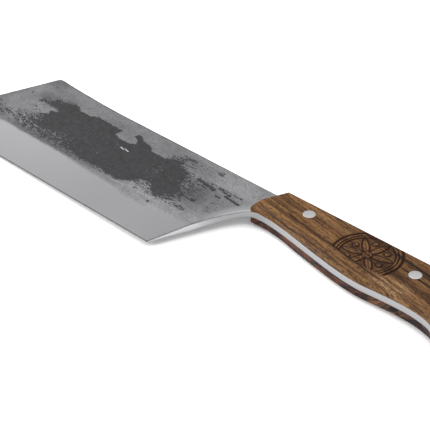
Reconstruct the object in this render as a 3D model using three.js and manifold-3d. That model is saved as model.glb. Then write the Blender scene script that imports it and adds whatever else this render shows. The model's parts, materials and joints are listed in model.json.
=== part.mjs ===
// Meat cleaver: one steel forging that is blade and full tang, two wooden scales
// on the tang, and two cutler's rivets, each a barrel half and a post half.
//
// Knife frame, in millimetres: the origin is on the front rivet's axis, half-way
// through the tang. +X runs from the tip to the butt, +Y from the cutting edge to
// the spine, and +Z out of the decorated side. The finished knife is then turned
// into the pose in which it lies on a table: +Z is up, and the origin is on the
// table, under the middle of its box.

import * as THREE from 'three';
import { mergeVertices } from 'three/addons/utils/BufferGeometryUtils.js';
import Module from 'manifold-3d';

// Blade
const BLADE_THICKNESS = 3.5;
const EDGE_THICKNESS = 0.3;
const BEVEL_WIDTH = 23.7; // the wide ground bevel, measured up from the cutting edge
const TIP = [-220, -63.4];
const TIP_RADIUS = 1.2;
const HEEL = [-48, -64.3];
const HEEL_CURVE = [-41.4, -43.7, -35.5, -18.1]; // handles of the sweep up to the neck
const NECK = [-28.1, -12.6]; // where blade and handle meet on the belly side
const SPINE_Y = 7.6;
const HUMP_START_X = -140; // from here the spine lifts towards the front
const HUMP_CURVE = [-154.7, SPINE_Y, -180.5, 9.2];
const HUMP_TOP = [-191, 10.4];
const FRONT_CORNER = [-194.9, 10.7];
const FRONT_CORNER_RADIUS = 3;

// Handle
const HANDLE_THICKNESS = 14.2;
const GLUE_GAP = 0.3; // between the tang and each scale
const SWELL = [48.5, -21.5]; // deepest point of the belly
const SWELL_CURVE = [-16.8, -7.2, 24.1, SWELL[1]];
const HOOK = [97.5, -26.5]; // where the belly runs out into the hooked butt
const HOOK_CURVE = [58.8, SWELL[1], 87.5, -16.1];
const BUTT_HEEL = [101, -21.5]; // where the hook turns up into the butt's end
const BUTT_CURVE = [99.5, -28.6, 101.8, -26];
const BUTT_X = 100;
const BUTT_CORNER_RADIUS = 9;
const SCALE_FRONT_TOP = [-20.3, SPINE_Y];
const SCALE_EDGE_RADIUS = 0.8;
const BELLY_ROLL = { width: 6, drop: 1.5 }; // the scale's outer face falls to the belly

// Rivets
const RIVET_CENTRES = { front: [0, 0], rear: [68.4, -3.5] };
const RIVET_HEAD = { radius: 3.25, height: 1.5 };
const BARREL = { outerRadius: 2.3, boreRadius: 1.5 };
const POST_RADIUS = 1.15;
const RIVET_CLEARANCE = 0.3; // around and between the rivet halves

// Smoothness of the facets
const CURVE_STEPS = 7;
const ROUND_SEGMENTS = 32;

const SETTLE_ROUNDS = 20;

const HALF_BLADE = BLADE_THICKNESS / 2;
const HALF_HANDLE = HANDLE_THICKNESS / 2;
const SCALE_INNER_Z = HALF_BLADE + GLUE_GAP;
const PAST = 30; // how far a cutting block reaches beyond what it cuts

const STEEL = { roughness: 0.45, metalness: 0.9 };
const WOOD = { roughness: 0.6, metalness: 0 };

const wasm = await Module();
wasm.setup();

// A closed three.js geometry as a manifold-3d solid, for cutting.
function toSolid(geometry) {
  const plain = geometry.clone();
  plain.deleteAttribute('normal');
  plain.deleteAttribute('uv');
  const merged = mergeVertices(plain, 1e-4);
  return new wasm.Manifold(new wasm.Mesh({
    numProp: 3,
    vertProperties: new Float32Array(merged.attributes.position.array),
    triVerts: new Uint32Array(merged.index.array),
  }));
}

// A manifold-3d solid as a three.js geometry.
function toGeometry(solid) {
  const { vertProperties, triVerts } = solid.getMesh();
  const geometry = new THREE.BufferGeometry();
  geometry.setAttribute('position', new THREE.BufferAttribute(vertProperties, 3));
  geometry.setIndex(new THREE.BufferAttribute(triVerts, 1));
  geometry.computeVertexNormals();
  return geometry;
}

// A flat outline drawn out along +Z from z = low to z = high, with both rims
// rounded or chamfered inwards by `inset` over the height `rise`.
function slab(shape, low, high, inset = 0, rise = inset, segments = 1) {
  const geometry = new THREE.ExtrudeGeometry(shape, {
    depth: high - low - 2 * rise,
    curveSegments: CURVE_STEPS,
    bevelEnabled: inset > 0,
    bevelSize: inset,
    bevelOffset: -inset,
    bevelThickness: rise,
    bevelSegments: segments,
  });
  return geometry.translate(0, 0, low + rise);
}

// Adds a fillet at `corner` to a path, between its last point and `next`.
function fillet(path, corner, next, radius) {
  const at = new THREE.Vector2(...corner);
  const before = path.currentPoint.clone().sub(at).normalize();
  const after = new THREE.Vector2(...next).sub(at).normalize();
  const halfAngle = before.angleTo(after) / 2;
  const reach = radius / Math.tan(halfAngle);
  const start = at.clone().addScaledVector(before, reach);
  const end = at.clone().addScaledVector(after, reach);
  path.lineTo(start.x, start.y);
  path.quadraticCurveTo(at.x, at.y, end.x, end.y);
}

// Along the belly, from the neck to the hook.
function drawBelly(path) {
  path.bezierCurveTo(...SWELL_CURVE, ...SWELL);
  path.bezierCurveTo(...HOOK_CURVE, ...HOOK);
}

// The part of the outline that tang and scales share: the belly, the butt, and
// back to the top of the handle.
function drawHandleEnd(path) {
  drawBelly(path);
  path.bezierCurveTo(...BUTT_CURVE, ...BUTT_HEEL);
  path.lineTo(BUTT_X, SPINE_Y - BUTT_CORNER_RADIUS);
  path.absarc(BUTT_X - BUTT_CORNER_RADIUS, SPINE_Y - BUTT_CORNER_RADIUS,
    BUTT_CORNER_RADIUS, 0, Math.PI / 2);
}

function forgingOutline() {
  const shape = new THREE.Shape();
  shape.moveTo(...HEEL);
  shape.bezierCurveTo(...HEEL_CURVE, ...NECK);
  drawHandleEnd(shape);
  shape.lineTo(HUMP_START_X, SPINE_Y);
  shape.bezierCurveTo(...HUMP_CURVE, ...HUMP_TOP);
  fillet(shape, FRONT_CORNER, TIP, FRONT_CORNER_RADIUS);
  fillet(shape, TIP, HEEL, TIP_RADIUS);
  shape.closePath();
  return shape;
}

function scaleOutline() {
  const shape = new THREE.Shape();
  shape.moveTo(...NECK);
  drawHandleEnd(shape);
  shape.lineTo(...SCALE_FRONT_TOP);
  shape.closePath();
  return shape;
}

// A block whose only shaped side is the belly, with the roll along that side.
// It reaches past the scale everywhere else.
function bellyRollBlock() {
  const shape = new THREE.Shape();
  shape.moveTo(NECK[0] - PAST, NECK[1]);
  shape.lineTo(...NECK);
  drawBelly(shape);
  shape.lineTo(BUTT_X + PAST, HOOK[1]);
  shape.lineTo(BUTT_X + PAST, PAST);
  shape.lineTo(NECK[0] - PAST, PAST);
  shape.closePath();
  const { width, drop } = BELLY_ROLL;
  return slab(shape, -HALF_HANDLE, HALF_HANDLE, width, drop, 2);
}

// A round bar along the rivet axis of `centre`.
function bar(centre, radius, low, high) {
  return new THREE.CylinderGeometry(radius, radius, high - low, ROUND_SEGMENTS)
    .rotateX(Math.PI / 2)
    .translate(centre[0], centre[1], (low + high) / 2);
}

// The stepped hole for one rivet, through scale, tang and scale.
function rivetHole(centre) {
  const tube = BARREL.outerRadius + RIVET_CLEARANCE;
  const head = RIVET_HEAD.radius + RIVET_CLEARANCE;
  const shoulder = HALF_HANDLE - RIVET_HEAD.height - RIVET_CLEARANCE;
  const beyond = HALF_HANDLE + 1;
  return toSolid(bar(centre, tube, -beyond, beyond))
    .add(toSolid(bar(centre, head, shoulder, beyond)))
    .add(toSolid(bar(centre, head, -beyond, -shoulder)));
}

// The waste that grinding takes off one face above the bevel: a wedge along the
// cutting edge, thickest at the edge and running out at the bevel line.
function bevelWaste() {
  const slope = (HALF_BLADE - EDGE_THICKNESS / 2) / BEVEL_WIDTH;
  const surfaceAt = (distance) => EDGE_THICKNESS / 2 + slope * distance;
  const outside = -1;
  const inside = BEVEL_WIDTH + 1;
  const section = new THREE.Shape([
    new THREE.Vector2(outside, surfaceAt(outside)),
    new THREE.Vector2(inside, surfaceAt(inside)),
    new THREE.Vector2(inside, BLADE_THICKNESS),
    new THREE.Vector2(outside, BLADE_THICKNESS),
  ]);
  const edge = new THREE.Vector2(HEEL[0] - TIP[0], HEEL[1] - TIP[1]);
  const wedge = new THREE.ExtrudeGeometry(section, {
    depth: edge.length() + 2 * PAST,
    bevelEnabled: false,
  });
  // The section's x becomes the distance from the edge and its y the height.
  const along = new THREE.Vector3(edge.x, edge.y, 0).normalize();
  const up = new THREE.Vector3(0, 0, 1);
  const inward = new THREE.Vector3().crossVectors(up, along);
  const place = new THREE.Matrix4().makeBasis(inward, up, along);
  place.setPosition(TIP[0] - PAST * along.x, TIP[1] - PAST * along.y, 0);
  return wedge.applyMatrix4(place);
}

// The same solid turned over to the other face of the blade.
function mirrored(solid) {
  return solid.mirror([0, 0, 1]);
}

function buildForging() {
  const waste = toSolid(bevelWaste());
  let solid = toSolid(slab(forgingOutline(), -HALF_BLADE, HALF_BLADE));
  solid = solid.subtract(waste).subtract(mirrored(waste));
  for (const centre of Object.values(RIVET_CENTRES)) solid = solid.subtract(rivetHole(centre));
  return toGeometry(solid);
}

// The scale on the decorated side; `side` -1 gives its twin on the other side.
function buildScale(side) {
  const blank = slab(scaleOutline(), SCALE_INNER_Z - SCALE_EDGE_RADIUS, HALF_HANDLE,
    SCALE_EDGE_RADIUS, SCALE_EDGE_RADIUS, 3);
  const tangRoom = new THREE.BoxGeometry(4 * BUTT_X, 4 * BUTT_X, 2 * SCALE_INNER_Z);
  let solid = toSolid(blank).intersect(toSolid(bellyRollBlock())).subtract(toSolid(tangRoom));
  for (const centre of Object.values(RIVET_CENTRES)) solid = solid.subtract(rivetHole(centre));
  return toGeometry(side > 0 ? solid : mirrored(solid));
}

// A turned piece: `profile` is a list of [radius, height] that starts and ends on
// the axis, and the lathe's axis is laid along the rivet's.
function turned(profile, centre) {
  const points = profile.map(([radius, height]) => new THREE.Vector2(radius, height));
  return new THREE.LatheGeometry(points, ROUND_SEGMENTS)
    .rotateX(Math.PI / 2)
    .translate(centre[0], centre[1], 0);
}

// Barrel half: its head is flush with the decorated side, and the tube reaches
// down to the post's head, open towards it.
function buildBarrel(centre) {
  const neck = HALF_HANDLE - RIVET_HEAD.height;
  const mouth = -neck + RIVET_CLEARANCE;
  return turned([
    [0, neck - RIVET_CLEARANCE],
    [BARREL.boreRadius, neck - RIVET_CLEARANCE],
    [BARREL.boreRadius, mouth],
    [BARREL.outerRadius, mouth],
    [BARREL.outerRadius, neck],
    [RIVET_HEAD.radius, neck],
    [RIVET_HEAD.radius, HALF_HANDLE],
    [0, HALF_HANDLE],
  ], centre);
}

// Post half: its head is flush with the plain side, and its shank is pressed up
// the barrel's bore.
function buildPost(centre) {
  const neck = -HALF_HANDLE + RIVET_HEAD.height;
  const shankEnd = -neck - 3 * RIVET_CLEARANCE;
  return turned([
    [0, -HALF_HANDLE],
    [RIVET_HEAD.radius, -HALF_HANDLE],
    [RIVET_HEAD.radius, neck],
    [POST_RADIUS, neck],
    [POST_RADIUS, shankEnd],
    [0, shankEnd],
  ], centre);
}

function named(name, geometry, colour, finish) {
  const material = new THREE.MeshStandardMaterial({ color: colour, ...finish });
  const mesh = new THREE.Mesh(geometry, material);
  mesh.name = name;
  return mesh;
}

// Every corner of every piece, in the knife frame.
function cornersOf(knife) {
  return knife.children.flatMap(({ geometry }) => {
    const { position } = geometry.attributes;
    return Array.from({ length: position.count }, (_, i) => (
      new THREE.Vector3().fromBufferAttribute(position, i)));
  });
}

// The level plane's normal when the knife lies on its three supports: in each
// region of `supports` the lowest corner is taken, and the plane through the three
// is found again until it stays the same.
function upWhenLying(knife, supports) {
  const regions = supports.map((inRegion) => cornersOf(knife).filter(inRegion));
  let up = new THREE.Vector3(0, 0, 1);
  for (let round = 0; round < SETTLE_ROUNDS; round += 1) {
    const level = up;
    const [a, b, c] = regions.map((corners) => corners.reduce((low, corner) => (
      corner.dot(level) < low.dot(level) ? corner : low)));
    up = new THREE.Vector3().crossVectors(b.clone().sub(a), c.clone().sub(a)).normalize();
    if (up.z < 0) up.negate();
  }
  return up;
}

// Turns the knife so that `up` is +Z, with the tip still towards -X, and puts the
// origin at the bottom of its box, under the middle.
function layOnTable(knife, up) {
  const across = new THREE.Vector3().crossVectors(up, new THREE.Vector3(1, 0, 0)).normalize();
  const along = new THREE.Vector3().crossVectors(across, up);
  const turn = new THREE.Matrix4().makeBasis(along, across, up).invert();
  knife.quaternion.setFromRotationMatrix(turn);
  const box = new THREE.Box3().setFromObject(knife, true);
  const middle = box.getCenter(new THREE.Vector3());
  knife.position.set(-middle.x, -middle.y, -box.min.z);
}

const knife = new THREE.Group();
knife.add(
  named('blade_and_tang', buildForging(), 0x8c8e91, STEEL),
  named('upper_scale', buildScale(1), 0x785a3c, WOOD),
  named('lower_scale', buildScale(-1), 0x5c4330, WOOD),
);
for (const [place, centre] of Object.entries(RIVET_CENTRES)) {
  knife.add(
    named(`${place}_rivet_barrel`, buildBarrel(centre), 0xd0d2d4, STEEL),
    named(`${place}_rivet_post`, buildPost(centre), 0xd0d2d4, STEEL),
  );
}

// The weight is in the blade, so the knife tips forward off the handle: it lies on
// the front of the lower scale and on two points of the blade's front edge, one by
// the bevel line and one by the tip.
const onScaleFront = ({ x }) => x > HEEL[0];
const onFrontEdge = ({ x, y }) => x < HUMP_START_X && y > TIP[1] + BEVEL_WIDTH / 2;
const onTip = ({ x, y }) => x < HUMP_START_X && y < TIP[1] + BEVEL_WIDTH / 3;
layOnTable(knife, upWhenLying(knife, [onScaleFront, onFrontEdge, onTip]));

const cleaver = new THREE.Group();
cleaver.add(knife);

export default cleaver;
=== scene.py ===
"""Looks for the meat cleaver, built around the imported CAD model.

Shapes are worked out in the knife frame, in millimetres: the origin is on the
front rivet's axis half-way through the tang, +X runs to the butt, +Y to the spine
and +Z out of the decorated side. KNIFE carries them into the row frame, in metres,
where the cleaver lies on the floor.
"""

import json
import math

import bpy
import numpy as np
from mathutils import Matrix, Vector, noise
from mathutils.geometry import delaunay_2d_cdt


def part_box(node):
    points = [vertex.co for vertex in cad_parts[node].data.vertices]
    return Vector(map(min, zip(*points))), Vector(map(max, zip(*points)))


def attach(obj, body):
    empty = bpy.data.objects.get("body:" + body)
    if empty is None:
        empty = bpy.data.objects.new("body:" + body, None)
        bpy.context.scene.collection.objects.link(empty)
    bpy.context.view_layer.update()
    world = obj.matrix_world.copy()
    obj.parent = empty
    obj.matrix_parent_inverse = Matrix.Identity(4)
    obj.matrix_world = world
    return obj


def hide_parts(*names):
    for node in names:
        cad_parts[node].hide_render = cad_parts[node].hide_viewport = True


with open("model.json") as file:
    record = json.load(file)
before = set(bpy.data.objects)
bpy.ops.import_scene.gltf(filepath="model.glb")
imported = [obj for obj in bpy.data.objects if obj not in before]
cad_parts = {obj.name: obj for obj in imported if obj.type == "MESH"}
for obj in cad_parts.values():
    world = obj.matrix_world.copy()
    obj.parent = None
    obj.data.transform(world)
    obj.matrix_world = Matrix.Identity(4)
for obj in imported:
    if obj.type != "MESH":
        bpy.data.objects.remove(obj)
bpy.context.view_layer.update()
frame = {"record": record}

MM = 0.001

# ---------------------------------------------------------------- dimensions (mm)
HALF_BLADE = 1.75
HALF_HANDLE = 7.1
EDGE_HALF = 0.05
BEVEL_WIDTH = 23.7
MICRO_BEVEL = 0.8

TIP = (-220, -63.4)
HEEL = (-48, -64.3)
HEEL_CURVE = [(-41.4, -43.7), (-35.5, -18.1)]
NECK = (-28.1, -12.6)
SPINE_Y = 7.6
HUMP_START = (-140, SPINE_Y)
HUMP_CURVE = [(-154.7, SPINE_Y), (-180.5, 9.2)]
HUMP_TOP = (-191, 10.4)
FRONT_CORNER = (-194.9, 10.7)
FRONT_CORNER_RADIUS = 3
TIP_RADIUS = 1.2
SWELL = (48.5, -21.5)
SWELL_CURVE = [(-16.8, -7.2), (24.1, -21.5)]
HOOK = (97.5, -26.5)
HOOK_CURVE = [(58.8, -21.5), (87.5, -16.1)]
BUTT_HEEL = (101, -21.5)
BUTT_CURVE = [(99.5, -28.6), (101.8, -26)]
BUTT_X = 100
BUTT_RADIUS = 9
SPINE_END = (BUTT_X - BUTT_RADIUS - 0.8, SPINE_Y)
SCALE_FRONT_TOP = (-20.3, SPINE_Y)
SCALE_NOSE_RADIUS = 0.42

RIVETS = {"front": (0, 0), "rear": (68.4, -3.5)}
HEAD_RADIUS = 3.25
HEAD_HEIGHT = 1.5
TUBE_RADIUS = 2.3
BORE_RADIUS = 1.5
POST_RADIUS = 1.45
FIT_GAP = 0.02  # between pieces that sit tight against each other

ROSETTE = (42, -6.5)
ROSETTE_RADIUS = 17.8


# ---------------------------------------------------------------- the knife frame
def knife_matrix():
    """The knife frame in the row frame, read off the CAD's front rivet and blade face."""
    mounts = {mount["name"]: mount for mount in frame["record"]["mounts"]}
    up = Vector(mounts["blade_flat"]["axis"]).normalized()
    across = up.cross(Vector((1, 0, 0))).normalized()
    along = across.cross(up)
    lows, highs = zip(*(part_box(f"front_rivet_{half}") for half in ("barrel", "post")))
    middle = [(min(a) + max(b)) / 2 for a, b in zip(zip(*lows), zip(*highs))]
    turn = Matrix((along, across, up)).transposed().to_4x4()
    return Matrix.Translation(middle) @ turn @ Matrix.Scale(MM, 4)


KNIFE = knife_matrix()


# ---------------------------------------------------------------- curves and outlines
def curve(controls, step=0.8):
    """Points along a Bezier curve of any degree, about `step` apart, without the last."""
    controls = np.array(controls, float)
    length = np.linalg.norm(np.diff(controls, axis=0), axis=1).sum()
    count = max(2, int(round(length / step)))
    t = np.linspace(0, 1, count, endpoint=False)[:, None, None]
    level = np.repeat(controls[None], count, axis=0)
    while level.shape[1] > 1:
        level = level[:, :-1] * (1 - t) + level[:, 1:] * t
    return level[:, 0]


def fillet(before, corner, after, radius, step=0.25):
    """A rounded corner between two straight neighbours."""
    before, corner, after = (np.array(p, float) for p in (before, corner, after))
    back = (before - corner) / np.linalg.norm(before - corner)
    on = (after - corner) / np.linalg.norm(after - corner)
    reach = radius / math.tan(math.acos(np.dot(back, on)) / 2)
    return curve([corner + back * reach, corner, corner + on * reach], step)


def circle(centre, radius, count):
    angles = np.linspace(0, 2 * math.pi, count, endpoint=False)
    return np.c_[centre[0] + radius * np.cos(angles), centre[1] + radius * np.sin(angles)]


def belly_line():
    return np.vstack([curve([NECK, *SWELL_CURVE, SWELL]), curve([SWELL, *HOOK_CURVE, HOOK])])


def handle_end():
    """Belly, butt and top corner: what the tang and the scales share."""
    centre = (BUTT_X - BUTT_RADIUS, SPINE_Y - BUTT_RADIUS)
    angles = np.linspace(0, math.pi / 2, 20)
    corner = np.c_[centre[0] + BUTT_RADIUS * np.cos(angles), centre[1] + BUTT_RADIUS * np.sin(angles)]
    return [
        belly_line(),
        curve([HOOK, *BUTT_CURVE, BUTT_HEEL], 0.4),
        curve([BUTT_HEEL, (BUTT_X, centre[1])]),
        corner,
    ]


def forging_outline():
    front = fillet(HUMP_TOP, FRONT_CORNER, TIP, FRONT_CORNER_RADIUS)
    tip = fillet(FRONT_CORNER, TIP, HEEL, TIP_RADIUS)
    return np.vstack([
        curve([HEEL, *HEEL_CURVE, NECK]),
        *handle_end(),
        curve([SPINE_END, HUMP_START]),
        curve([HUMP_START, *HUMP_CURVE, HUMP_TOP]),
        front,
        curve([front[-1], tip[0]])[1:],
        tip,
        curve([tip[-1], HEEL])[1:],
    ])


def scale_outline():
    nose = fillet(SCALE_FRONT_TOP, NECK, SWELL_CURVE[0], SCALE_NOSE_RADIUS)
    belly, *rest = handle_end()
    return np.vstack([
        nose,
        belly[belly[:, 0] > nose[-1, 0] + 0.3],
        *rest,
        curve([SPINE_END, SCALE_FRONT_TOP]),
        curve([SCALE_FRONT_TOP, nose[0]], 0.6),
    ])


def inward(loop):
    """Inward vectors at the points of a counter-clockwise loop, mitred at corners."""
    step = np.roll(loop, -1, axis=0) - loop
    step /= np.linalg.norm(step, axis=1)[:, None]
    left = np.c_[-step[:, 1], step[:, 0]]
    mean = left + np.roll(left, 1, axis=0)
    mean /= np.linalg.norm(mean, axis=1)[:, None]
    cosine = (mean * left).sum(1)
    return mean / np.maximum(cosine, 0.6)[:, None]


def to_segments(points, line, closed):
    """Distance from each point to a polyline, and the side: + on its left."""
    a = line if closed else line[:-1]
    b = np.roll(line, -1, axis=0) if closed else line[1:]
    ab = b - a
    length2 = (ab ** 2).sum(1)
    best = np.empty(len(points))
    side = np.empty(len(points))
    for start in range(0, len(points), 2000):
        p = points[start:start + 2000, None, :] - a[None]
        t = np.clip((p * ab).sum(2) / length2, 0, 1)
        d2 = ((p - t[..., None] * ab) ** 2).sum(2)
        nearest = d2.argmin(1)
        rows = np.arange(len(nearest))
        best[start:start + 2000] = np.sqrt(d2[rows, nearest])
        q = p[rows, nearest]
        s = ab[nearest]
        side[start:start + 2000] = np.sign(s[:, 0] * q[:, 1] - s[:, 1] * q[:, 0])
    return best, side


def inside(points, loop):
    """True for the points inside a closed loop, by counting crossings."""
    x, y = points[:, 0][:, None], points[:, 1][:, None]
    a, b = loop, np.roll(loop, -1, axis=0)
    result = np.zeros(len(points), bool)
    for start in range(0, len(points), 4000):
        rows = slice(start, start + 4000)
        spans = (a[:, 1] > y[rows]) != (b[:, 1] > y[rows])
        with np.errstate(divide="ignore", invalid="ignore"):
            cross = a[:, 0] + (y[rows] - a[:, 1]) * (b[:, 0] - a[:, 0]) / (b[:, 1] - a[:, 1])
        result[rows] = (np.where(spans, x[rows] < cross, False).sum(1) % 2) == 1
    return result


def triangular_grid(low, high, pitch):
    """Points of an equilateral grid over a rectangle."""
    rows = np.arange(low[1], high[1], pitch * math.sqrt(3) / 2)
    columns = np.arange(low[0], high[0], pitch)
    x = np.tile(columns, len(rows)) + np.repeat(np.arange(len(rows)) % 2, len(columns)) * pitch / 2
    return np.c_[x, np.repeat(rows, len(columns))]


def smoothstep(low, high, value):
    t = np.clip((value - low) / (high - low), 0, 1)
    return t * t * (3 - 2 * t)


# ---------------------------------------------------------------- mesh building
class Shell:
    """A closed surface that is put together from rings and caps, in the knife frame."""

    def __init__(self):
        self.points = []
        self.faces = []

    def ring(self, xy, z):
        """Adds a ring of points and returns their numbers."""
        first = len(self.points)
        self.points.extend(np.c_[xy, np.broadcast_to(z, len(xy))].tolist())
        return np.arange(first, first + len(xy))

    def band(self, lower, upper):
        """Joins two counter-clockwise rings, with the faces pointing away from the middle."""
        ahead = np.roll(np.arange(len(lower)), -1)
        self.faces += zip(lower, lower[ahead], upper[ahead], upper)

    def cap(self, outer, holes, extra, height, side):
        """Fills a ring, less its holes, through the extra points; side is +1 for a top."""
        borders = [outer, *holes]
        known = np.concatenate(borders)
        flat = np.array([self.points[i][:2] for i in known])
        edges = []
        start = 0
        for border in borders:
            count = len(border)
            edges += [(start + i, start + (i + 1) % count) for i in range(count)]
            start += count
        numbers = np.concatenate([known, self.ring(extra, height(extra) * side)])
        coords = [Vector(p) for p in np.vstack([flat, extra])]
        made, _, triangles, origins, _, _ = delaunay_2d_cdt(coords, edges, [], 0, 1e-5)
        origin = np.array([group[0] for group in origins])
        triangles = np.array(triangles)
        centres = np.array([tuple(v) for v in made])[triangles].mean(1)
        keep = inside(centres, flat[:len(outer)])
        for hole in holes:
            loop = np.array([self.points[i][:2] for i in hole])
            keep &= ~inside(centres, loop)
        chosen = numbers[origin[triangles[keep]]]
        self.faces += [tuple(t) for t in (chosen if side > 0 else chosen[:, ::-1])]

    def build(self, name, attributes=None):
        """The Blender object, with its knife-frame position kept as an attribute."""
        points = np.array(self.points)
        mesh = bpy.data.meshes.new(name)
        mesh.from_pydata(points.tolist(), [], [tuple(int(i) for i in f) for f in self.faces])
        place = mesh.attributes.new("knife", "FLOAT_VECTOR", "POINT")
        place.data.foreach_set("vector", points.astype(np.float32).ravel())
        for key, values in (attributes(points) if attributes else {}).items():
            layer = mesh.attributes.new(key, "FLOAT", "POINT")
            layer.data.foreach_set("value", np.asarray(values, np.float32))
        mesh.transform(KNIFE)
        mesh.shade_smooth()
        mesh.set_sharp_from_angle(angle=math.radians(40))
        mesh.validate()
        piece = bpy.data.objects.new(name, mesh)
        bpy.context.scene.collection.objects.link(piece)
        return piece


def grid_inside(loop, pitch, margin, avoid=()):
    """Grid points inside a loop, `margin` clear of it and of the circles in `avoid`."""
    points = triangular_grid(loop.min(0), loop.max(0), pitch)
    points = points[inside(points, loop)]
    distance, _ = to_segments(points, loop, True)
    points = points[distance > margin]
    for centre, radius in avoid:
        points = points[np.hypot(*(points - centre).T) > radius]
    return points


def rim(shell, loop, height, radii, side, base, steps):
    """Rounded rim from the wall ring `base` up onto the face; returns the last ring."""
    inset = inward(loop)
    last = base
    for angle in np.linspace(0, math.pi / 2, steps):
        xy = loop + inset * (radii * (1 - math.cos(angle)))[:, None]
        z = height(xy) - radii * (1 - math.sin(angle))
        ring = shell.ring(xy, z * side)
        shell.band(*((last, ring) if side > 0 else (ring, last)))
        last = ring
    return last


# ---------------------------------------------------------------- materials: node helper
class Graph:
    """A material's node tree."""

    def __init__(self, name):
        self.material = bpy.data.materials.new(name)
        self.material.use_nodes = True
        self.tree = self.material.node_tree
        self.shader = self.tree.nodes["Principled BSDF"]

    def node(self, kind, inputs=None, **settings):
        made = self.tree.nodes.new(kind)
        for key, value in settings.items():
            setattr(made, key, value)
        for key, value in (inputs or {}).items():
            self.feed(value, made.inputs[key])
        return made

    def feed(self, value, socket):
        if isinstance(value, bpy.types.NodeSocket):
            self.tree.links.new(value, socket)
        else:
            socket.default_value = value

    def math(self, operation, a, b=0.0, c=0.0):
        made = self.node("ShaderNodeMath", operation=operation)
        for value, socket in zip((a, b, c), made.inputs):
            self.feed(value, socket)
        return made.outputs[0]

    def fade(self, value, low, high):
        """0 below `low`, 1 above `high`, smooth between."""
        made = self.node("ShaderNodeMapRange", interpolation_type="SMOOTHSTEP")
        for value_in, socket in zip((value, low, high), made.inputs):
            self.feed(value_in, socket)
        return made.outputs[0]

    def blend(self, factor, a, b):
        made = self.node("ShaderNodeMix", data_type="RGBA")
        self.feed(factor, made.inputs[0])
        self.feed(a, made.inputs[6])
        self.feed(b, made.inputs[7])
        return made.outputs[2]

    def mix(self, factor, a, b):
        made = self.node("ShaderNodeMix", data_type="FLOAT")
        self.feed(factor, made.inputs[0])
        self.feed(a, made.inputs[2])
        self.feed(b, made.inputs[3])
        return made.outputs[0]

    def attribute(self, name, output="Fac"):
        return self.node("ShaderNodeAttribute", attribute_name=name).outputs[output]

    def place(self, stretch=(1, 1, 1), shift=(0, 0, 0)):
        """The knife-frame position in millimetres, stretched and shifted."""
        return self.node(
            "ShaderNodeMapping",
            {"Vector": self.attribute("knife", "Vector"), "Scale": stretch, "Location": shift},
        ).outputs[0]

    def noise(self, vector, scale, detail, roughness):
        return self.node(
            "ShaderNodeTexNoise",
            {"Vector": vector, "Scale": scale, "Detail": detail, "Roughness": roughness},
        ).outputs["Fac"]

    def bump(self, height, depth_mm, normal=None):
        made = self.node("ShaderNodeBump", {"Height": height, "Distance": depth_mm * MM, "Strength": 1.0})
        if normal is not None:
            self.feed(normal, made.inputs["Normal"])
        return made.outputs[0]

    def finish(self, colour, metallic, roughness, normal=None):
        self.feed(colour, self.shader.inputs["Base Color"])
        self.feed(metallic, self.shader.inputs["Metallic"])
        self.feed(roughness, self.shader.inputs["Roughness"])
        if normal is not None:
            self.feed(normal, self.shader.inputs["Normal"])
        return self.material


# ---------------------------------------------------------------- blade and tang
# Outline of the black forge scale that the grinding left on the blade.
PATCH = np.array([
    (-186, -10.2), (-181, -9.2), (-179, -4.6), (-170, -2.9), (-165, -2.4), (-161, -5.4), (-153, -5.4),
    (-149, -3), (-140, -3.4), (-129, -3.5), (-129.5, -8.5), (-124, -10.3), (-117, -9.8), (-114.5, -8),
    (-116, -5.4), (-120.8, -3.2), (-119.6, -0.6), (-116.4, -0.8), (-114.5, -3), (-109, -4), (-104.8, -5),
    (-104, -7.2), (-98, -7.6), (-93, -7), (-90.5, -2), (-84, 0.5), (-77, -0.5), (-80, -6.5), (-72, -8),
    (-57, -9.6), (-56, -11.3), (-63, -12.6), (-61.5, -25), (-63, -34.5), (-78, -36), (-81, -32),
    (-86, -30.5), (-91, -35), (-98, -38.4), (-112, -37.4), (-130, -38.4), (-150, -38), (-170, -37),
    (-184, -33), (-181, -27), (-175, -25.2), (-176.6, -22), (-171.5, -18.6), (-174, -16.8), (-168.6, -14.5),
    (-171, -13.2), (-186, -13),
], float)[::-1]

# How ragged that outline is, in mm: 0.8 where it is crisp, more where it is worn.
RAGGED = [
    ((-174, -33), (40, 11), 15),
    ((-182, -5), (14, 8), 5),
    ((-100, -40), (60, 3), 3),
    ((-82, -33), (9, 5), 6),
    ((-84, 0), (14, 7), 8),
    ((-64, -22), (12, 18), 11),
    ((-60, -10), (12, 4), 2),
]

# Other places with specks of scale: centre, half widths, and cover from -1 (bare) to 1.
SPECKS = [
    ((-206, -31), (9, 6), 0.05),
    ((-194, -33), (13, 6), 0.1),
    ((-174, -32), (20, 7.5), 0.14),
    ((-155, -34), (24, 5.5), 0.3),
    ((-74, -0.5), (20, 5), -0.28),
    ((-61.5, 2.2), (3, 1.6), 0.6),
    ((-81, 1), (5.5, 1.8), 0.3),
    ((-57, -34), (7, 1.8), 0.35),
    ((-74, -35), (6, 1.6), 0.2),
    ((-84, -34), (9, 4), 0.0),
    ((-87, -37.5), (8, 1.6), -0.1),
    ((-55.5, -25), (1.9, 1.7), 1.0),
    ((-71.4, -41), (0.9, 0.7), 1.0),
    ((-64.5, -35.6), (0.8, 0.7), 0.8),
    ((-61, -21), (9, 13), -0.02),
    ((-45, -22), (9, 14), -0.34),
    ((-195.5, -10), (1.2, 1.6), 0.6),
    ((-190, 4), (7, 4), -0.3),
    ((-172, 1), (14, 5), -0.42),
    ((-140, 0), (30, 4), -0.5),
    ((-180, -19), (8, 6), -0.2),
]

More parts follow.
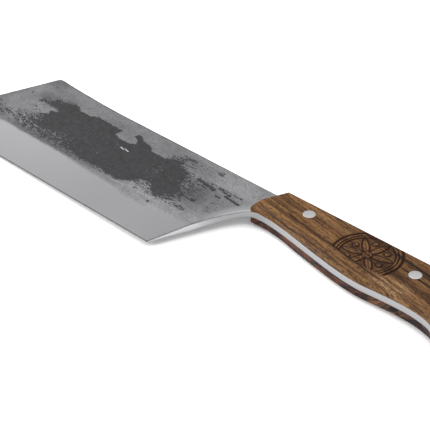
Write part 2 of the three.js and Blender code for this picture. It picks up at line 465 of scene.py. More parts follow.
# Streaks of scale: from, to, half width and cover.
STREAKS = [
    ((-67, -9.4), (-54, -11), 1.3, 0.9),
    ((-58, -7.6), (-38, -8), 0.9, 0.25),
    ((-46, -11.4), (-37, -12.8), 1.1, 0.6),
    ((-40, -12), (-39.4, -12.1), 1.1, 0.9),
    ((-36.8, -12.8), (-36, -12.6), 1.0, 1.0),
    ((-50, -14.3), (-47, -14.6), 0.8, 0.8),
    ((-54, -8.6), (-44, -9.8), 0.9, 0.35),
    ((-88, -5.5), (-74, -3.5), 0.8, 0.1),
    ((-100, -38.6), (-118, -39), 0.7, 0.0),
    ((-130, -39.2), (-150, -39.6), 0.8, 0.0),
]

# Where the scale has worn thin inside the outline.
WORN = [
    ((-148, -26), (10, 6), 0.45),
    ((-89, -18), (4, 6), 0.55),
    ((-69, -16), (4, 6), 0.4),
    ((-84, -27), (7, 3), 0.35),
    ((-80, -4), (9, 4), 0.3),
    ((-101, -14), (5, 4), 0.35),
    ((-128, -16), (14, 4), 0.35),
    ((-120, -30), (10, 4), 0.25),
]

# Where a thin grey film of scale is left.
FILM = [
    ((-58, -21), (11, 13), 0.75),
    ((-45, -24), (9, 14), 0.4),
    ((-183, -8), (9, 6), 0.5),
    ((-73, -2), (19, 6), 0.4),
    ((-48, -10), (14, 4), 0.35),
    ((-150, -38.5), (60, 3.2), 0.5),
    ((-196, -32), (16, 8), 0.12),
    ((-191, 6), (8, 5), 0.45),
    ((-176, 1), (12, 5), 0.25),
    ((-135, -1), (9, 3), 0.2),
    ((-205, -20), (5, 20), 0.35),
]

# Bright, freshly rubbed spots.
SHINE = [
    ((-86, -36), (7, 2.6), 0.9),
    ((-80, -32), (5, 2), 0.7),
    ((-97, -39.4), (16, 1.1), 0.7),
    ((-78, -37.8), (14, 1.2), 0.8),
    ((-178, -19), (8, 5), 0.3),
    ((-178, -33), (16, 6), 0.35),
    ((-172, 3), (14, 3), 0.25),
    ((-52, -2), (16, 6), 0.35),
    ((-44, -36), (6, 8), 0.45),
    ((-60, -34), (10, 3), 0.4),
    ((-74, -10), (14, 2), 0.3),
]

# Scratches through to bright metal: from, to, half width.
SCRATCHES = [
    ((-118, -15.6), (-115.5, -16.2), 0.22),
    ((-115, -15.4), (-112, -16), 0.2),
    ((-123, -28), (-122.8, -28.1), 0.05),
    ((-100, -40), (-91, -39.2), 0.05),
    ((-94, -38), (-84, -38.3), 0.05),
]

# The upper border of the ground bevel, as distance from the edge along the blade.
GRIND_LINE = [
    (-220, 23.7), (-140, 23.2), (-113, 21.8), (-97, 21), (-80, 19.2), (-68, 19.3), (-57, 21.6), (-45.5, 25),
    (-41, 28),
]

# The far side's wear is found at this number less x.
FAR_SIDE_MIRROR = -250


def edge_distance(xy):
    """Distance up from the line of the cutting edge."""
    edge = np.subtract(HEEL, TIP)
    left = np.array([-edge[1], edge[0]]) / np.hypot(*edge)
    return (xy - np.array(HEEL)) @ left


def rolling(xy, size, seed):
    """Smooth noise over the plane, about -1 to 1, with features `size` across."""
    return np.array([
        noise.fractal(Vector((x / size, y / size, seed)), 1.0, 2.0, 3) for x, y in xy
    ])


def blade_height(side):
    """Half thickness of the forging as a function of place, on one face."""
    seed = 3.7 if side > 0 else 11.3

    def height(xy):
        up = edge_distance(xy)
        ground = EDGE_HALF + 0.1 + (HALF_BLADE - EDGE_HALF - 0.1) * up / BEVEL_WIDTH
        steep = EDGE_HALF + up * (0.16 / MICRO_BEVEL)
        ground = np.minimum(ground, steep)
        softness = 0.03
        gap = ground - HALF_BLADE
        flat = HALF_BLADE + 0.5 * (gap - np.sqrt(gap * gap + softness * softness))
        hammered = smoothstep(BEVEL_WIDTH - 2, BEVEL_WIDTH + 3, up) * smoothstep(-24, -34, xy[:, 0])
        return flat - 0.05 * hammered * (1 + rolling(xy, 9, seed))
    return height


def blade_rim(loop, side):
    """Rounding radius along the forging's outline: worn soft at the neck, crisp on the tang."""
    x, y = loop.T
    neck = 0.2 + 0.7 * smoothstep(-45, -16, y) * (side > 0)
    radii = np.where((x < -24) & (x > -60) & (y < -8), neck, 0.4)
    radii = np.where(x >= -24, 0.1, radii)
    for _ in range(6):
        radii = (np.roll(radii, 1) + 2 * radii + np.roll(radii, -1)) / 4
    return radii


def blob_strength(xy, centre, widths):
    """1 in the middle of a rounded box, 0 outside it."""
    q = (xy - np.array(centre)) / np.array(widths)
    return np.exp(-0.7 * (q ** 4).sum(1) - 0.35 * (q ** 2).sum(1))


def blobs(xy, spots):
    """The strongest of a list of soft spots, each (centre, half widths, strength)."""
    total = np.zeros(len(xy))
    for centre, widths, strength in spots:
        total = np.maximum(total, strength * blob_strength(xy, centre, widths))
    return total


def scratched(xy):
    """1 on the scratches, 0 off them."""
    total = np.zeros(len(xy))
    for start, end, half_width in SCRATCHES:
        away, _ = to_segments(xy, np.array([start, end], float), False)
        total = np.maximum(total, smoothstep(half_width + 0.25, half_width - 0.1, away))
    return total


def scale_cover(xy):
    """Cover of the forge scale: 1 solid, 0 half worn, -1 bare."""
    distance, _ = to_segments(xy, PATCH, True)
    distance = np.where(inside(xy, PATCH), distance, -distance)
    ragged = 0.8 + blobs(xy, RAGGED)
    cover = np.clip(distance / ragged, -1, 1)
    cover -= blobs(xy, WORN) * (cover > -0.5)
    for centre, widths, level in SPECKS:
        cover = np.maximum(cover, (level + 1) * blob_strength(xy, centre, widths) - 1)
    for start, end, half_width, level in STREAKS:
        away, _ = to_segments(xy, np.array([start, end], float), False)
        cover = np.maximum(cover, (level + 1) * np.exp(-0.8 * (away / half_width) ** 2) - 1)
    return cover


def blade_attributes(points):
    plan = points[:, :2]
    x, y, z = points.T
    # The far side carries the same pattern of wear, mirrored end for end.
    xy = plan.copy()
    xy[z < 0, 0] = FAR_SIDE_MIRROR - x[z < 0]
    to_rim, _ = to_segments(plan, forging_outline(), True)
    near_rim = to_rim < 1.6
    drop = blade_height(1)(plan) - np.abs(z)
    bent = 0.6 * smoothstep(-38, -20, y) * (x < -24) * (z > 0)
    wall = smoothstep(0.02, 0.1 + 0.9 * bent, drop) * near_rim
    heel_line = curve([HEEL, *HEEL_CURVE, NECK])
    to_heel, _ = to_segments(plan, heel_line, False)
    neck = smoothstep(-44, -20, y) * smoothstep(6.0, 1.8, to_heel) * (x < -20)
    front = np.array([SCALE_FRONT_TOP, NECK], float)
    to_scale, _ = to_segments(plan, front, False)
    collar = smoothstep(2.2, 0.8, to_scale)
    up = edge_distance(plan)
    line = np.interp(x, *np.array(GRIND_LINE, float).T)
    near_neck = (x > -60) & (y > -24)
    # Painted shade: a thin dark line along the forging's rims, faint near the neck and off the walls, kept
    # as the rim attribute.
    painted_rim_shade = np.where(near_neck, 0.05, 1) * (to_rim < 0.42) * (x < -26) * (1 - wall)
    return {
        "cover": scale_cover(xy),
        "film": blobs(xy, FILM),
        "shine": blobs(xy, SHINE),
        "wall": wall,
        "neck": np.maximum(neck, 0.6 * collar),
        "edge": up,
        "grind": up - line,
        "scratch": scratched(xy),
        "rim": painted_rim_shade,
        "right": smoothstep(-100, -60, x) * (x < 0),
    }


def refine_marks(grid, reach=1.3, pitch=0.28):
    """Makes a grid finer along the thin streaks and scratches."""
    for start, end, *_ in STREAKS + SCRATCHES:
        line = np.array([start, end], float)
        fine = triangular_grid(line.min(0) - reach, line.max(0) + reach, pitch)
        fine = fine[to_segments(fine, line, False)[0] <= reach]
        grid = np.vstack([grid[to_segments(grid, line, False)[0] > reach], fine])
    return grid


def make_blade():
    shell = Shell()
    outline = forging_outline()
    holes = [circle(centre, TUBE_RADIUS + FIT_GAP, 48)[::-1] for centre in RIVETS.values()]
    middle = shell.ring(outline, 0.0)
    rings = {}
    for side in (1, -1):
        height = blade_height(side)
        local = np.minimum(blade_rim(outline, side), 0.8 * np.maximum(height(outline), 0.02))
        last = rim(shell, outline, height, local, side, middle, 6)
        hole_rings = [shell.ring(hole, HALF_BLADE * side) for hole in holes]
        loop = np.array([shell.points[i][:2] for i in last])
        grid = grid_inside(loop, 0.85, 0.45, [(c, TUBE_RADIUS + 0.6) for c in RIVETS.values()])
        grid = grid[edge_distance(grid) > 1.5]
        if side > 0:
            grid = refine_marks(grid)
        length = np.arange(TIP[0] + 1.5, HEEL[0] - 0.5, 0.9)
        edge_y = TIP[1] + (length - TIP[0]) * (HEEL[1] - TIP[1]) / (HEEL[0] - TIP[0])
        rows = [np.c_[length, edge_y + offset] for offset in (MICRO_BEVEL - 0.15, MICRO_BEVEL + 0.15)]
        rows = np.vstack(rows)
        away, _ = to_segments(rows, loop, True)
        rows = rows[inside(rows, loop) & (away > 0.3)]
        shell.cap(last, hole_rings, np.vstack([grid, rows]), height, side)
        rings[side] = hole_rings
    for low, high in zip(rings[-1], rings[1]):
        shell.band(low, high)
    return shell.build("Forged_blade_and_tang", blade_attributes)


def steel_material():
    g = Graph("Forged_steel")
    here = g.place()
    film = g.attribute("film")
    wall = g.attribute("wall")
    grind = g.attribute("grind")
    right = g.attribute("right")

    # Forge scale: its cover against noise of two sizes, so that it wears away in specks.
    coarse = g.noise(g.place((0.75, 1.15, 1)), 0.5, 5, 0.68)
    fine = g.noise(g.place((0.8, 1.3, 1), (11, 5, 0)), 1.3, 4, 0.72)
    grain = g.math("MULTIPLY_ADD", coarse, 2.6, g.math("MULTIPLY", fine, 3.4))
    level = g.math("ADD", g.attribute("cover"), g.math("SUBTRACT", grain, 3.0))
    dark = g.fade(level, -0.12, 0.14)
    # Pinholes of bare metal in the solid scale.
    pinholes = g.fade(g.noise(g.place((1, 1, 1), (40, 7, 0)), 1.0, 4, 0.75), 0.56, 0.66)
    dark = g.math("MULTIPLY", dark, g.math("MULTIPLY_ADD", pinholes, -0.22, 1.0))

    # Bare forged steel: mottled, with fine scratches along and across.
    mottle = g.noise(here, 0.25, 5, 0.7)
    drawn = g.noise(g.place((0.07, 2.2, 1)), 1.1, 5, 0.75)
    cross = g.noise(g.place((1.8, 0.25, 1), (3, 9, 0)), 1.1, 3, 0.7)
    scuffs = g.noise(g.place((0.5, 1.1, 1), (7, 2, 0)), 1.8, 3, 0.75)
    bare = g.math("MULTIPLY_ADD", mottle, 0.2, 0.115)
    streaky = g.math("MULTIPLY_ADD", right, 0.3, 0.14)
    bare = g.math("MULTIPLY_ADD", g.math("SUBTRACT", drawn, 0.5), streaky, bare)
    bare = g.math("MULTIPLY_ADD", g.math("SUBTRACT", scuffs, 0.5), streaky, bare)
    bare = g.math("MULTIPLY_ADD", g.math("SUBTRACT", cross, 0.5), 0.08, bare)
    bare = g.math("MULTIPLY_ADD", right, 0.06, bare)
    filmy = g.math("MULTIPLY", film, g.math("MULTIPLY_ADD", scuffs, 0.9, 0.45))
    bare = g.math("MULTIPLY", bare, g.math("MULTIPLY_ADD", filmy, -0.75, 1.0))
    shine = g.math("MULTIPLY", g.attribute("shine"), g.fade(scuffs, 0.35, 0.6))
    bare = g.math("MULTIPLY_ADD", shine, 0.16, bare)
    flaws = g.fade(g.noise(g.place((0.6, 1.2, 1), (23, 4, 0)), 1.1, 4, 0.7), 0.44, 0.34)
    bare = g.math("MULTIPLY", bare, g.math("MULTIPLY_ADD", flaws, -0.5, 1.0))
    bare = g.math("MAXIMUM", bare, 0.03)

    scale_tone = g.math("MULTIPLY_ADD", g.noise(here, 0.4, 5, 0.65), 0.044, -0.009)
    forged = g.mix(dark, bare, scale_tone)
    forged = g.mix(g.attribute("scratch"), forged, 0.42)

    # The ground bevel, the polished neck and the ground walls.
    wander = g.math("MULTIPLY_ADD", g.math("SUBTRACT", g.noise(here, 0.12, 3, 0.6), 0.5), 3.0, grind)
    wander = g.math("MULTIPLY_ADD", g.math("SUBTRACT", drawn, 0.5), 5.0, wander)
    ground = g.math("SUBTRACT", 1.0, g.fade(wander, -1.6, 0.6))
    satin = g.math("MULTIPLY_ADD", g.noise(g.place((1.5, 0.25, 1)), 2.0, 3, 0.6), 0.025, 0.255)
    # Painted light and shade: the bevel's tone is graded, darker towards the cutting edge and lighter
    # towards the heel, for the light it reflects.
    satin = g.math("MULTIPLY", satin, g.math("MULTIPLY_ADD", g.attribute("edge"), 0.0075, 0.92))
    satin = g.math("MULTIPLY", satin, g.math("MULTIPLY_ADD", right, 0.11, 1.0))
    # Painted shade: the micro-bevel along the cutting edge is painted 45 percent darker, for the dark line
    # the edge shows.
    painted_edge_shade = g.fade(g.attribute("edge"), MICRO_BEVEL + 0.15, MICRO_BEVEL - 0.15)
    satin = g.math("MULTIPLY", satin, g.math("MULTIPLY_ADD", painted_edge_shade, -0.45, 1.0))
    tone = g.mix(ground, forged, satin)
    brushed = g.noise(g.place((0.4, 0.4, 3)), 2.0, 4, 0.65)
    polished = g.math("MULTIPLY_ADD", brushed, 0.1, 0.25)
    tone = g.mix(g.attribute("neck"), tone, polished)
    # Painted light: the ground walls are painted up to 30 percent lighter towards the heel, for the light
    # they reflect there.
    heel_painted_light = g.fade(g.attribute("edge"), 40, 24)
    side_tone = g.math("MULTIPLY_ADD", brushed, 0.13, 0.305)
    side_tone = g.math("MULTIPLY", side_tone, g.math("MULTIPLY_ADD", heel_painted_light, 0.3, 1.0))
    tone = g.mix(wall, tone, side_tone)
    # Painted shade: the rim attribute darkens the steel by up to 60 percent along its rims.
    tone = g.math("MULTIPLY", tone, g.math("MULTIPLY_ADD", g.attribute("rim"), -0.6, 1.0))
    colour = g.node("ShaderNodeCombineColor")
    g.feed(tone, colour.inputs[0])
    g.feed(tone, colour.inputs[1])
    blue = g.mix(dark, 1.03, 1.13)
    g.feed(g.math("MULTIPLY", tone, blue), colour.inputs[2])

    covered = g.math("MULTIPLY", dark, g.math("SUBTRACT", 1.0, ground))
    covered = g.math("MULTIPLY", covered, g.math("SUBTRACT", 1.0, wall))
    metallic = g.mix(covered, 0.95, 0.3)
    rough = g.mix(ground, 0.42, 0.28)
    rough = g.mix(covered, rough, 0.55)
    rough = g.mix(g.attribute("neck"), rough, 0.5)
    normal = g.bump(covered, 0.04)
    normal = g.bump(scuffs, 0.02, normal)
    return g.finish(colour.outputs[0], metallic, rough, normal)


# ---------------------------------------------------------------- wooden scales
ROLL_WIDTH = 6.6
ROLL_DROP = {1: 1.4, -1: 1.0}
NOSE_DROP = {1: 4.5, -1: 2.2}


def rosette(xy):
    """Depth and scorching, 0..1, of the carved rosette.

    A double ring holds a six-petalled compass flower with a pearl between the petals.
    """
    q = xy - np.array(ROSETTE)
    r = np.hypot(*q.T)
    turn = np.arctan2(q[:, 1], q[:, 0])

    def groove(distance, half_width):
        return smoothstep(half_width + 0.2, half_width - 0.1, np.abs(distance))

    reach = ROSETTE_RADIUS - 4.1
    angles = np.radians(np.arange(6) * 60 + 14)
    centres = reach * np.c_[np.cos(angles), np.sin(angles)]
    spread = [np.hypot(*(q - c).T) for c in centres]
    arcs = np.min([np.abs(d - reach) for d in spread], axis=0)
    petals = np.any([(spread[i] < reach) & (spread[(i + 2) % 6] < reach) for i in range(6)], axis=0)
    sector = (turn - angles[0] - math.pi / 6) % (math.pi / 3)
    sector = np.minimum(sector, math.pi / 3 - sector)
    pearl = np.hypot(r * np.cos(sector) - 0.7 * reach, r * np.sin(sector))

    ground = (r < reach) & ~petals & (r > 2.7)
    hollow = ground * smoothstep(0.1, 0.5, arcs) * smoothstep(1.75, 2.05, pearl)
    rings = np.maximum.reduce([
        groove(r - (ROSETTE_RADIUS - 0.55), 0.6),
        0.95 * groove(r - (ROSETTE_RADIUS - 2.6), 0.32),
        groove(r - reach, 0.38),
        groove(r - 2.7, 0.25) + 0.7 * groove(r - 1.1, 0.15),
        (r < reach) * groove(pearl - 1.7, 0.34),
    ])
    lines = np.maximum(rings, (r < reach) * (r > 2.7) * groove(arcs, 0.42))
    vein = (r < reach - 2) * (r > 4) * petals * groove(r * np.sin(sector_from(turn, angles[0])), 0.12)
    depth = np.maximum.reduce([lines, 0.6 * hollow, 0.5 * vein])
    scorch = np.maximum.reduce([lines, 0.42 * hollow, 0.75 * vein])
    return depth, scorch


def sector_from(turn, first):
    """Angle from the nearest of six spokes, the first at `first`."""
    away = (turn - first) % (math.pi / 3)
    return np.where(away > math.pi / 6, away - math.pi / 3, away)


def belly_distance(xy):
    """Distance in from the belly edge of a scale."""
    distance, _ = to_segments(xy, belly_line(), False)
    return distance


def scale_height(side, carved=False):
    def height(xy):
        inward_from_belly = belly_distance(xy)
        s = np.clip(1 - inward_from_belly / ROLL_WIDTH, 0, 1)
        drop = ROLL_DROP[side] + (0.6 * smoothstep(6, -8, xy[:, 0]) if side < 0 else 0)
        z = HALF_HANDLE - drop * (0.35 * s + 0.65 * s ** 2.2)
        nose_length = 15 if side > 0 else 3
        nose = smoothstep(NECK[0] + nose_length, NECK[0], xy[:, 0])
        round_off = 1 - np.sqrt(np.maximum(1 - np.clip(1 - inward_from_belly / 5.5, 0, 1) ** 2, 0.02))
        z = z - (NOSE_DROP[side] - ROLL_DROP[side]) * nose * round_off
        if carved:
            depth, _ = rosette(xy)
            depth = depth * smoothstep(SPINE_Y - 0.4, SPINE_Y - 1.0, xy[:, 1])
            z = z - 0.45 * depth * smoothstep(ROLL_WIDTH, ROLL_WIDTH + 0.4, inward_from_belly)
        return z
    return height


def scale_rim(loop, side):
    """Rounding radius along a scale's outline."""
    x, y = loop.T
    radii = np.full(len(loop), 0.9 if side > 0 else 0.45)
    radii[y > SPINE_Y - 0.01] = 0.4
    radii[x < SCALE_FRONT_TOP[0] + 0.05] = 0.6
    radii[x > BUTT_X - BUTT_RADIUS] = 1.1
    for _ in range(8):
        radii = (np.roll(radii, 1) + 2 * radii + np.roll(radii, -1)) / 4
    from_nose = np.hypot(*(loop - np.array(NECK)).T)
    return np.minimum(radii, 0.1 + 0.3 * np.maximum(from_nose - 0.7, 0))


def scale_attributes(points):
    xy = points[:, :2]
    near = (np.hypot(*(xy - np.array(ROSETTE)).T) < ROSETTE_RADIUS + 1) & (points[:, 2] > 5)
    burn = np.zeros(len(points))
    _, scorch = rosette(xy[near])
    from_belly = belly_distance(xy)
    burn[near] = scorch * smoothstep(ROLL_WIDTH - 0.2, ROLL_WIDTH + 0.2, from_belly[near])
    return {"belly": from_belly, "burn": burn}


def make_scale(name, side, carved):
    shell = Shell()
    outline = scale_outline()
    height = scale_height(side, carved)
    radii = scale_rim(outline, side)
    inner_z = HALF_BLADE + FIT_GAP
    low = shell.ring(outline, inner_z * side)
    wall = low
    edge_top = height(outline) - radii
    for share in (0.35, 0.7):
        ring = shell.ring(outline, (inner_z + (edge_top - inner_z) * share) * side)
        shell.band(*((wall, ring) if side > 0 else (ring, wall)))
        wall = ring
    last = rim(shell, outline, height, radii, side, wall, 7)
    loop = np.array([shell.points[i][:2] for i in last])
    head = HEAD_RADIUS + 0.03
    grid = grid_inside(loop, 0.9, 0.45, [(c, head + 0.5) for c in RIVETS.values()])
    if carved:
        on_rosette = np.hypot(*(grid - np.array(ROSETTE)).T) < ROSETTE_RADIUS + 0.4
        on_rosette &= belly_distance(grid) > ROLL_WIDTH - 0.9
        fine = grid_inside(loop, 0.25, 0.25)
        fine = fine[np.hypot(*(fine - np.array(ROSETTE)).T) < ROSETTE_RADIUS + 0.2]
        fine = fine[belly_distance(fine) > ROLL_WIDTH - 0.6]
        grid = np.vstack([grid[~on_rosette], fine])
    top_rings = []
    low_rings = []
    shoulder = HALF_HANDLE - HEAD_HEIGHT - FIT_GAP
    for centre in RIVETS.values():
        mouth = shell.ring(circle(centre, head, 64)[::-1], HALF_HANDLE * side)
        step_out = shell.ring(circle(centre, head, 64)[::-1], shoulder * side)
        step_in = shell.ring(circle(centre, TUBE_RADIUS + FIT_GAP, 64)[::-1], shoulder * side)
        foot = shell.ring(circle(centre, TUBE_RADIUS + FIT_GAP, 64)[::-1], inner_z * side)
        for lower, upper in ((foot, step_in), (step_in, step_out), (step_out, mouth)):
            shell.band(*((lower, upper) if side > 0 else (upper, lower)))
        top_rings.append(mouth)
        low_rings.append(foot)
    shell.cap(last, top_rings, grid, height, side)
    shell.cap(low, low_rings, np.zeros((0, 2)), height, -side)
    return shell.build(name, scale_attributes)


# Dark growth lines of the upper board: height where they cross x = 0 along the grain,
# half width, strength, and the stretch of the handle that they run over.
GROWTH_LINES = [
    (-7.9, 0.45, 1.0, -12, 62),
    (-6.3, 0.25, 0.8, -30, -4),
    (-9.4, 0.22, 0.6, -30, 34),
    (-5.4, 0.2, 0.45, -30, 22),
    (-14.3, 0.4, 0.7, -30, 45),
    (-11.8, 0.22, 0.55, -22, 70),
    (-16.5, 0.3, 0.6, -5, 90),
    (7.0, 0.3, 0.65, -10, 40),
    (9.2, 0.35, 0.7, 18, 60),
    (12.4, 0.9, 1.0, 46, 110),
    (10.6, 0.3, 0.7, 56, 110),
    (6.4, 0.8, 1.0, 54, 110),
    (-1.5, 0.3, 0.6, 50, 110),
    (1.8, 0.18, 0.45, -30, 30),
    (4.0, 0.16, 0.4, -25, 16),
    (-3.2, 0.16, 0.4, -10, 36),
]


# Dark, body, pale and golden tones of each board.
WALNUT = [
    (0.018, 0.0053, 0.001),
    (0.103, 0.043, 0.012),
    (0.208, 0.104, 0.038),
    (0.275, 0.145, 0.028),
]
DARK_WALNUT = [
    (0.006, 0.003, 0.005),
    (0.024, 0.011, 0.011),
    (0.135, 0.046, 0.019),
    (0.16, 0.058, 0.023),
]
# Pale tone of the painted highlight on the roll.
PAINTED_HIGHLIGHT_PALE = (0.36, 0.22, 0.115, 1)
SCORCHED = (0.015, 0.004, 0.0005, 1)


def wood_material(name, tones, lines, seed, cut=1.0):
    """Oiled wood: broad figure along the handle, dark growth lines, and short pores.

    `tones` are the dark, body, pale and golden colours, `lines` the growth lines, and
    `cut` shortens the broad figure, as on a board that is cut across its grain.
    """
    dark, body, pale, golden = ((*tone, 1) for tone in tones)
    deep = tuple(0.55 * part for part in dark[:3]) + (1,)
    g = Graph(name)
    apart = g.node("ShaderNodeSeparateXYZ", {"Vector": g.attribute("knife", "Vector")})
    x, y, z = apart.outputs
    # Height across the grain, which slopes gently down towards the butt and sways a little.
    level = g.math("MULTIPLY_ADD", x, 0.168, y)
    level = g.math("MULTIPLY_ADD", g.math("ABSOLUTE", z), 0.45, g.math("SUBTRACT", level, 3.2))
    sway = g.noise(g.place((0.025, 0.08, 0.1), (seed, 0, 0)), 1.0, 3, 0.5)
    level = g.math("MULTIPLY_ADD", g.math("SUBTRACT", sway, 0.5), 3.0, level)
    ripple = g.noise(g.place((0.12, 0.3, 0.3), (seed, 3, 0)), 1.0, 3, 0.6)
    level = g.math("MULTIPLY_ADD", g.math("SUBTRACT", ripple, 0.5), 0.9, level)

    def along(stretch):
        made = g.node("ShaderNodeCombineXYZ", {"X": g.math("MULTIPLY", x, stretch), "Y": level, "Z": seed})
        return made.outputs[0]

    broad = g.noise(along(0.02 * cut), 0.16 * cut, 3, 0.6)
    bands = g.noise(along(0.04 * cut), 0.6, 4, 0.65)
    fibres = g.noise(along(0.09), 2.6, 4, 0.75)
    pores = g.noise(along(0.4), 4.2, 2, 0.6)
    flecks = g.noise(along(0.22), 1.8, 4, 0.7)

    figure = g.math("MULTIPLY_ADD", broad, 0.5, g.math("MULTIPLY", bands, 0.5))
    figure = g.math("MULTIPLY_ADD", g.fade(x, -5, 45), -0.05, figure)
    colour = g.blend(g.fade(figure, 0.41, 0.61), body, pale)
    gold = g.math("MULTIPLY", g.fade(level, -7.6, -7.2), g.fade(level, -6.4, -6.8))
    gold = g.math("MULTIPLY", gold, g.fade(x, 8, -8))
    glow = g.math("MULTIPLY", g.fade(level, -7.5, -9), g.fade(bands, 0.42, 0.62))
    gold = g.math("MULTIPLY", g.math("MAXIMUM", gold, g.math("MULTIPLY", glow, 0.3)), 0.7)
    colour = g.blend(gold, colour, golden)
    # Painted highlight: the roll near x 50 to 80 is blended towards a pale tone, for the sheen of the light
    # on it.
    roll_painted_highlight = g.math("MULTIPLY", g.fade(x, 50, 60), g.fade(x, 80, 68))
    roll_painted_highlight = g.math("MULTIPLY", roll_painted_highlight, g.math("MULTIPLY", g.fade(y, -12, -15), g.fade(y, -22, -19)))
    roll_painted_highlight = g.math("MULTIPLY", roll_painted_highlight, g.fade(bands, 0.35, 0.6))
    colour = g.blend(g.math("MULTIPLY", roll_painted_highlight, 0.7), colour, PAINTED_HIGHLIGHT_PALE)
    colour = g.blend(g.math("MULTIPLY", g.fade(figure, 0.49, 0.37), 0.85), colour, dark)
    colour = g.blend(g.math("MULTIPLY", g.fade(fibres, 0.48, 0.34), 0.85), colour, dark)
    colour = g.blend(g.math("MULTIPLY", g.fade(fibres, 0.52, 0.63), 0.6), colour, pale)
    colour = g.blend(g.math("MULTIPLY", g.fade(flecks, 0.45, 0.37), 0.8), colour, deep)
    colour = g.blend(g.math("MULTIPLY", g.fade(pores, 0.44, 0.37), 0.7), colour, deep)
    rings = g.math("PINGPONG", g.noise(along(0.01), 0.2, 2, 0.45), 0.045)
    rings = g.math("MULTIPLY", g.fade(rings, 0.031, 0.043), g.fade(flecks, 0.62, 0.45))
    colour = g.blend(g.math("MULTIPLY", rings, 0.6), colour, dark)
    ragged = g.math("MULTIPLY_ADD", g.math("SUBTRACT", flecks, 0.5), 1.2, level)
    for height, half_width, strength, start, end in lines:
        away = g.math("ABSOLUTE", g.math("SUBTRACT", ragged, height))
        line = g.fade(away, half_width * 1.5, half_width * 0.4)
        reach = g.math("MULTIPLY", g.fade(x, start, start + 8), g.fade(x, end, end - 12))
        line = g.math("MULTIPLY", g.math("MULTIPLY", line, reach), strength)
        colour = g.blend(line, colour, deep)
    burn = g.attribute("burn")
    colour = g.blend(g.math("MULTIPLY", g.fade(burn, 0.05, 0.9), 0.96), colour, SCORCHED)
    rough = g.math("MULTIPLY_ADD", fibres, 0.2, 0.36)
    rough = g.mix(burn, rough, 0.75)
    normal = g.bump(fibres, 0.04)
    normal = g.bump(pores, 0.05, normal)
    g.shader.inputs["Specular IOR Level"].default_value = 0.13
    return g.finish(colour, 0.0, rough, normal)


# ---------------------------------------------------------------- rivets
def turned(name, profile, centre, count=96):
    """A lathe-turned piece; `profile` is [radius, height] pairs from axis to axis."""
    shell = Shell()
    rings = []
    for radius, z in profile[1:-1]:
        rings.append(shell.ring(circle(centre, radius, count), z))
    for lower, upper in zip(rings, rings[1:]):
        shell.band(lower, upper)
    for pole, ring, first in ((profile[0], rings[0], True), (profile[-1], rings[-1], False)):
        middle = shell.ring(np.array([centre], float), pole[1])[0]
        ahead = np.roll(ring, -1)
        for a, b in zip(ring, ahead):
            shell.faces.append((middle, b, a) if first else (middle, a, b))
    return shell.build(name, lambda points: {"turn": np.hypot(*(points[:, :2] - centre).T)})


def head_profile():
    """The face of a rivet head from its rim to its middle: an eased edge and a slight crown."""
    crown = 0.06
    ease = 0.12
    rim_points = [
        (HEAD_RADIUS - ease + ease * math.cos(a), HALF_HANDLE - crown - ease + ease * math.sin(a))
        for a in np.linspace(0, math.pi / 2, 5)
    ]
    dome = [
        (r, HALF_HANDLE - crown + crown * (1 - (r / (HEAD_RADIUS - ease)) ** 2))
        for r in np.linspace(HEAD_RADIUS - ease, 0, 14)[1:]
    ]
    return rim_points + dome


def make_rivet(place, centre):
    neck = HALF_HANDLE - HEAD_HEIGHT
    top = head_profile()
    barrel = [
        (0, neck - 0.3), (BORE_RADIUS, neck - 0.3), (BORE_RADIUS, -neck + 0.05),
        (TUBE_RADIUS, -neck + 0.05), (TUBE_RADIUS, neck), (HEAD_RADIUS, neck), *top,
    ]
    post_end = neck - 0.6
    under = [(r, -z) for r, z in reversed(top)]
    post = [*under, (HEAD_RADIUS, -neck), (POST_RADIUS, -neck), (POST_RADIUS, post_end), (0, post_end)]
    return (
        turned(f"Rivet_barrel_{place}", barrel, centre),
        turned(f"Rivet_post_{place}", post, centre),
    )


def rivet_material():
    g = Graph("Rivet_steel")
    lines = g.noise(g.place((0.5, 6, 1)), 1.5, 3, 0.6)
    spots = g.noise(g.place((1, 1, 1)), 1.8, 3, 0.6)
    tone = g.math("MULTIPLY_ADD", lines, 0.1, 0.42)
    tone = g.math("MULTIPLY_ADD", spots, 0.08, tone)
    # Painted highlight: the outer ring of each head is painted lighter.
    edge = g.fade(g.attribute("turn"), HEAD_RADIUS - 0.35, HEAD_RADIUS - 0.05)
    tone = g.math("MULTIPLY_ADD", edge, 0.05, tone)
    colour = g.node("ShaderNodeCombineColor")
    for socket in range(3):
        g.feed(tone, colour.inputs[socket])
    rough = g.math("MULTIPLY_ADD", lines, 0.15, 0.33)
    return g.finish(colour.outputs[0], 1.0, rough, g.bump(lines, 0.01))


# ---------------------------------------------------------------- stage
# Light levels, with 1 as paper white.
SKY = 0.62
FLOOR_GLOW = 0.18
FLOOR_DROP = 0.0001  # keeps the floor just clear of the cleaver


def make_floor():
    mesh = bpy.data.meshes.new("Floor")
    half = 3.0
    corners = [(-half, -half, 0), (half, -half, 0), (half, half, 0), (-half, half, 0)]
    mesh.from_pydata(corners, [], [(0, 1, 2, 3)])
    floor = bpy.data.objects.new("Floor", mesh)
    floor.location.z = -FLOOR_DROP
    bpy.context.scene.collection.objects.link(floor)
    g = Graph("Pale_floor")
    g.finish((0.9, 0.9, 0.9, 1), 0.0, 0.9)
    g.shader.inputs["Specular IOR Level"].default_value = 0.1
    g.shader.inputs["Emission Color"].default_value = (1, 1, 1, 1)
    g.shader.inputs["Emission Strength"].default_value = FLOOR_GLOW
    mesh.materials.append(g.material)


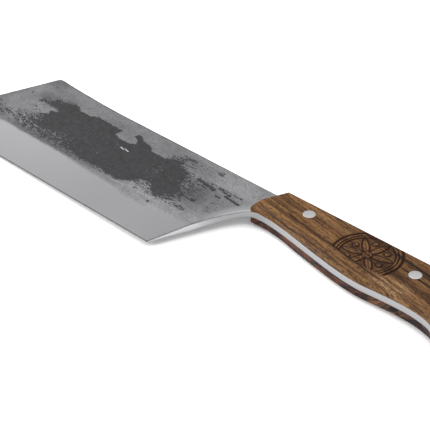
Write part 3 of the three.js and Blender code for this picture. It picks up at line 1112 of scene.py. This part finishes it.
def area_light(name, heading, elevation, distance, size, brightness):
    """A soft box aimed at the middle of the cleaver; `brightness` is its radiance."""
    light = bpy.data.lights.new(name, "AREA")
    light.shape = "RECTANGLE"
    light.size, light.size_y = size
    light.energy = brightness * math.pi * size[0] * size[1]
    turn, tilt = math.radians(heading), math.radians(elevation)
    way = Vector((math.cos(turn) * math.cos(tilt), math.sin(turn) * math.cos(tilt), math.sin(tilt)))
    lamp = bpy.data.objects.new(name, light)
    lamp.location = way * distance
    lamp.rotation_euler = (-way).to_track_quat("-Z", "Y").to_euler()
    bpy.context.scene.collection.objects.link(lamp)


def make_lights():
    world = bpy.data.worlds.new("Studio")
    bpy.context.scene.world = world
    world.use_nodes = True
    background = world.node_tree.nodes["Background"]
    background.inputs["Color"].default_value = (1, 1, 1, 1)
    background.inputs["Strength"].default_value = SKY
    area_light("Overhead", 134, 86, 1.5, (1.4, 1.4), 2.75)
    area_light("Left_fill", 215, 25, 1.6, (1.0, 0.6), 11)
    area_light("Left_card", 173, 36, 1.4, (1.0, 0.8), 1.25)


# Camera of the view: its lens, and its place and turn in the knife frame.
LENS = 135.4
ELEVATION = math.radians(34.65)
HEADING = math.radians(44.30)
ROLL = math.radians(-0.47)
CAMERA_SHIFT = (46.12, -5.33, 794.7)


def make_camera():
    forward = Vector((-math.sin(HEADING) * math.cos(ELEVATION),
                      math.cos(HEADING) * math.cos(ELEVATION), -math.sin(ELEVATION)))
    level = Vector((math.cos(HEADING), math.sin(HEADING), 0))
    above = level.cross(forward)
    right = level * math.cos(ROLL) + above * math.sin(ROLL)
    up = above * math.cos(ROLL) - level * math.sin(ROLL)
    place = -(right * CAMERA_SHIFT[0] + up * CAMERA_SHIFT[1] + forward * CAMERA_SHIFT[2])
    turn = Matrix((right, up, -forward)).transposed()
    knife_turn = KNIFE.to_3x3().normalized()
    camera = bpy.data.cameras.new("Camera")
    camera.lens = LENS
    camera.sensor_width = 36
    camera.clip_start = 0.01
    eye = bpy.data.objects.new("Camera", camera)
    eye.matrix_world = Matrix.Translation(KNIFE @ place) @ (knife_turn @ turn).to_4x4()
    bpy.context.scene.collection.objects.link(eye)
    bpy.context.scene.camera = eye


# ---------------------------------------------------------------- assembly
def fit_piece(piece, node, material):
    piece.data.materials.append(material)
    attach(piece, "root")
    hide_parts(node)


make_camera()
make_floor()
make_lights()
bpy.context.scene.view_settings.view_transform = "Standard"

fit_piece(make_blade(), "blade_and_tang", steel_material())
fit_piece(make_scale("Scale_upper", 1, True), "upper_scale",
          wood_material("Walnut", WALNUT, GROWTH_LINES, 2.0))
fit_piece(make_scale("Scale_lower", -1, False), "lower_scale",
          wood_material("Dark_walnut", DARK_WALNUT, [], 7.0, 5.0))
rivet_steel = rivet_material()
for place, centre in RIVETS.items():
    barrel, post = make_rivet(place, np.array(centre, float))
    fit_piece(barrel, f"{place}_rivet_barrel", rivet_steel)
    fit_piece(post, f"{place}_rivet_post", rivet_steel)
